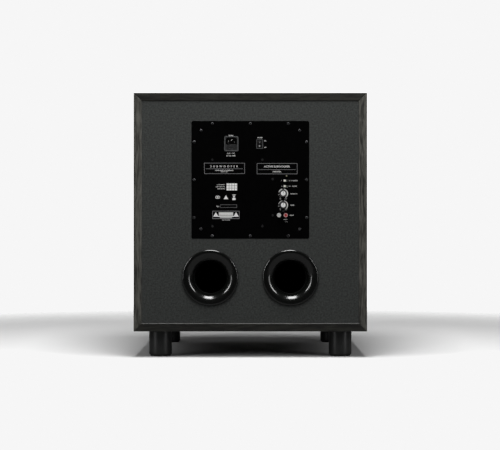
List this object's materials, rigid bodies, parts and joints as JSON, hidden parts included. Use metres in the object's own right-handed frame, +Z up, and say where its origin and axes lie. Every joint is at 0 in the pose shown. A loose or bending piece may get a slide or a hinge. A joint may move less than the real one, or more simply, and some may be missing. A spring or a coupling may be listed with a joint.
{
  "type": "powered subwoofer loudspeaker",
  "caption": "Cube-shaped powered subwoofer on cylindrical feet, with a plate amplifier and flared bass ports in the back and a woofer behind a cloth grille.",
  "frame": {"origin": "on the floor under the middle of the object's bounding box", "axes": "+Z up; the front with the grille faces -Y, the back with the amplifier faces +Y; +X is to the right as seen from the front"},
  "size_m": [0.505, 0.5358, 0.573],
  "materials": {
    "walls": "black wood-grain wrap on board, satin",
    "baffle_wrap": "dark grey wrap on board, fine grain, matt",
    "front_board": "black painted board, matt",
    "raw_board": "bare fibreboard",
    "batten_wood": "bare softwood",
    "wadding": "loose polyester felt",
    "foot_plastic": "satin black moulding",
    "foot_rubber": "matt black rubber",
    "steel": "zinc plated steel",
    "port_plastic": "semi-gloss black moulding",
    "tube_plastic": "matt black extruded tube",
    "basket_paint": "black powder coat",
    "black_rubber": "matt black rubber",
    "plate_steel": "plated steel, turned",
    "ferrite": "sintered ferrite, dark grey",
    "spider_cloth": "resin-dipped cloth",
    "cone_pulp": "black pressed pulp",
    "former_foil": "lacquered former",
    "copper": "enamelled copper wire",
    "grille_board": "black painted board",
    "grille_cloth": "open woven acoustic cloth",
    "amp_paint": "black powder coat, satin, white print",
    "foam": "closed-cell foam strip",
    "screw_black": "black oxide",
    "cover_steel": "galvanised sheet",
    "board_green": "green circuit board",
    "fixing_brass": "plain brass spacers, dark screws",
    "heatsink_alu": "extruded, matt",
    "capacitor": "printed sleeve",
    "transformer": "ferrite core, taped bobbin",
    "socket_plastic": "matt black moulding",
    "contact": "nickel plated",
    "fuse_glass": "glass tube with plated caps",
    "rocker_plastic": "semi-gloss black moulding",
    "slider_cream": "cream moulding",
    "can_steel": "folded tinplate",
    "knob_black": "satin black moulding, pale cap",
    "jack_white": "white insulator, nickel shell",
    "jack_red": "red insulator, nickel shell",
    "lamp": "tinted lens",
    "lead_sleeve": "soft insulated lead, one red and one black"
  },
  "bodies": {
    "cabinet": {"left_side_panel": "walls", "right_side_panel": "walls", "top_panel": "walls", "bottom_panel": "walls", "front_baffle": "front_board", "rear_baffle": "baffle_wrap", "window_brace": "raw_board", "glue_battens": "batten_wood", "damping_pads": "wadding", "foot_posts": "foot_plastic", "foot_pads": "foot_rubber", "foot_fixings": "steel", "left_port_flare": "port_plastic", "right_port_flare": "port_plastic", "port_tubes": "tube_plastic", "inner_port_flares": "port_plastic", "woofer_basket": "basket_paint", "woofer_gasket": "black_rubber", "woofer_top_plate": "plate_steel", "woofer_magnets": "ferrite", "woofer_yoke": "plate_steel", "magnet_cover": "black_rubber", "woofer_spider": "spider_cloth", "woofer_surround": "black_rubber", "woofer_terminals": "socket_plastic", "woofer_screws": "screw_black", "tinsel_leads": "copper", "grille_sockets": "black_rubber", "amp_panel": "amp_paint", "amp_gasket": "foam", "amp_panel_screws": "screw_black", "amp_cover": "cover_steel", "main_board": "board_green", "control_board": "board_green", "board_fixings": "fixing_brass", "heatsink": "heatsink_alu", "reservoir_capacitors": "capacitor", "power_transformer": "transformer", "inlet_socket": "socket_plastic", "inlet_pins": "contact", "switch_housing": "socket_plastic", "slide_switch_bodies": "can_steel", "potentiometers": "can_steel", "white_phono_jack": "jack_white", "red_phono_jack": "jack_red", "status_lamp": "lamp", "speaker_leads": "lead_sleeve"},
    "moving_coil_and_cone": {"woofer_cone": "cone_pulp", "dust_cap": "cone_pulp", "voice_coil_former": "former_foil", "voice_coil_winding": "copper"},
    "grille": {"grille_frame": "grille_board", "grille_cloth": "grille_cloth"},
    "power_rocker": {"power_rocker": "rocker_plastic"},
    "phase_slider": {"phase_slider": "slider_cream"},
    "mode_slider": {"mode_slider": "slider_cream"},
    "crossover_knob": {"crossover_knob": "knob_black"},
    "level_knob": {"level_knob": "knob_black"},
    "fuse_drawer": {"fuse_drawer": "socket_plastic", "fuse": "fuse_glass"}
  },
  "joints": [
    {"name": "cone_travel", "type": "slide", "parent": "cabinet", "child": "moving_coil_and_cone", "axis": [0, -1, 0], "range_m": [-0.012, 0.012], "stiffness_N_per_m": 5000, "deforming": ["woofer_surround", "woofer_spider", "tinsel_leads"]},
    {"name": "grille_pull", "type": "slide", "parent": "cabinet", "child": "grille", "axis": [0, -1, 0], "range_m": [0, 0.06]},
    {"name": "rocker_turn", "type": "hinge", "parent": "cabinet", "child": "power_rocker", "pos_m": [-0.0202, 0.2532, 0.46224], "axis": [1, 0, 0], "range_deg": [0, 18]},
    {"name": "phase_slide", "type": "slide", "parent": "cabinet", "child": "phase_slider", "axis": [-1, 0, 0], "range_m": [0, 0.0035]},
    {"name": "mode_slide", "type": "slide", "parent": "cabinet", "child": "mode_slider", "axis": [-1, 0, 0], "range_m": [0, 0.0035]},
    {"name": "crossover_turn", "type": "hinge", "parent": "cabinet", "child": "crossover_knob", "pos_m": [-0.0709, 0.2589, 0.35524], "axis": [0, 1, 0], "range_deg": [-150, 150]},
    {"name": "level_turn", "type": "hinge", "parent": "cabinet", "child": "level_knob", "pos_m": [-0.0709, 0.2589, 0.33004], "axis": [0, 1, 0], "range_deg": [-150, 150]},
    {"name": "fuse_drawer_pull", "type": "slide", "parent": "cabinet", "child": "fuse_drawer", "axis": [0, 1, 0], "range_m": [0, 0.022]}
  ]
}
